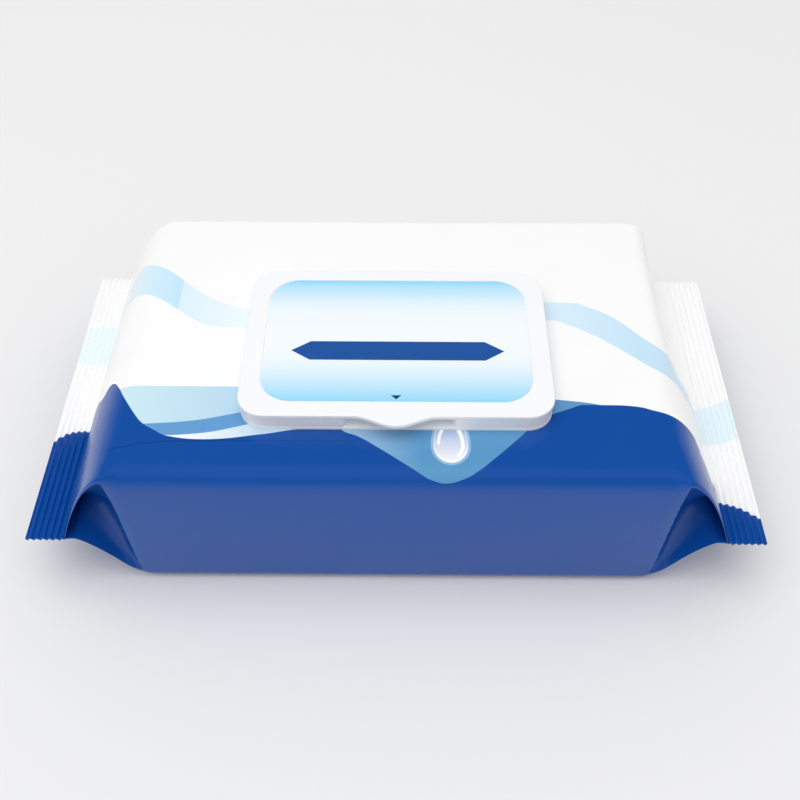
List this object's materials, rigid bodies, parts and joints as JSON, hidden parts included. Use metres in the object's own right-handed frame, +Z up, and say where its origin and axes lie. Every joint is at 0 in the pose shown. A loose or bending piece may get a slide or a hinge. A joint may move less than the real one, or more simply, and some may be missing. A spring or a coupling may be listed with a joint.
{
  "type": "wet wipes pack",
  "caption": "Sealed gusseted film pouch of wet wipes with crimped end seals, a printed wave pattern and a white flip-top lid over its dispensing opening.",
  "frame": {"origin": "middle of the flat underside, under the middle of the bounding box", "axes": "+X along the pack from crimped end to crimped end, +Y to the rear where the lid's hinge is, +Z up through the lid"},
  "size_m": [0.24, 0.1246, 0.063],
  "materials": {
    "printed_film": "glossy laminated film, deep blue and white print",
    "closure_plastic": "satin white moulded polypropylene",
    "lid_label_print": "satin printed label, sky blue fading to white",
    "peel_label": "satin white peel-off film"
  },
  "bodies": {
    "pack": {"pouch": "printed_film", "seal_label": "peel_label", "closure_frame": "closure_plastic", "living_hinge": "closure_plastic"},
    "lid": {"closure_lid": "closure_plastic", "lid_label": "lid_label_print"}
  },
  "joints": [
    {"name": "lid_hinge", "type": "hinge", "parent": "pack", "child": "lid", "pos_m": [0, 0.02595, 0.06135], "axis": [-1, 0, 0], "range_deg": [0, 180], "deforming": ["living_hinge"]}
  ]
}
